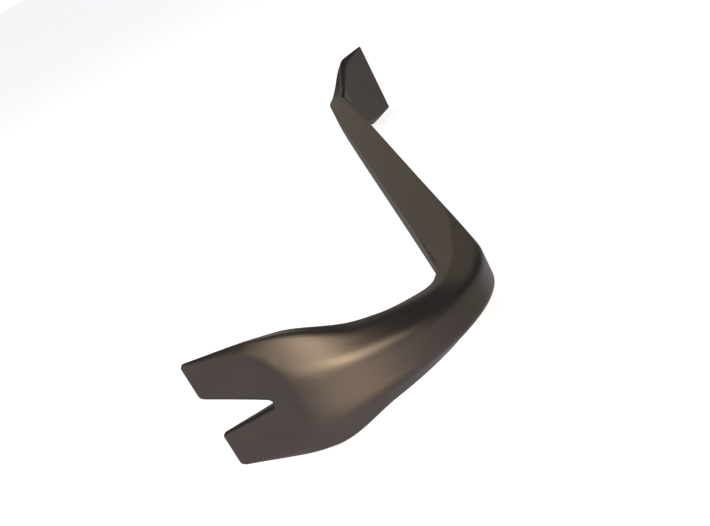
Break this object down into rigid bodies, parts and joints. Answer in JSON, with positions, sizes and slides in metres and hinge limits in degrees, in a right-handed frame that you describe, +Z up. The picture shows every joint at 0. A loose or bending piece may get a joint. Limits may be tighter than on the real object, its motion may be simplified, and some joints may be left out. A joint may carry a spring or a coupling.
{
  "type": "pry bar",
  "caption": "One-piece forged pry bar: a wide thin claw with a V-shaped nail slot on a curved arm, a straight shaft and a flared chisel blade bent the other way.",
  "frame": {"origin": "on the surface that the bar lies on, under the middle of its box", "axes": "+X along the shaft from the claw's heel to the chisel blade; +Y in the plane of the bends, towards the side the claw reaches to; +Z up, across the bar's width, as the bar lies on its side"},
  "size_m": [0.3882, 0.139, 0.05],
  "materials": {
    "forged_steel": "satin brown-black oxide over forged and linished steel"
  },
  "bodies": {
    "root": {"forged_bar": "forged_steel"}
  },
  "joints": []
}
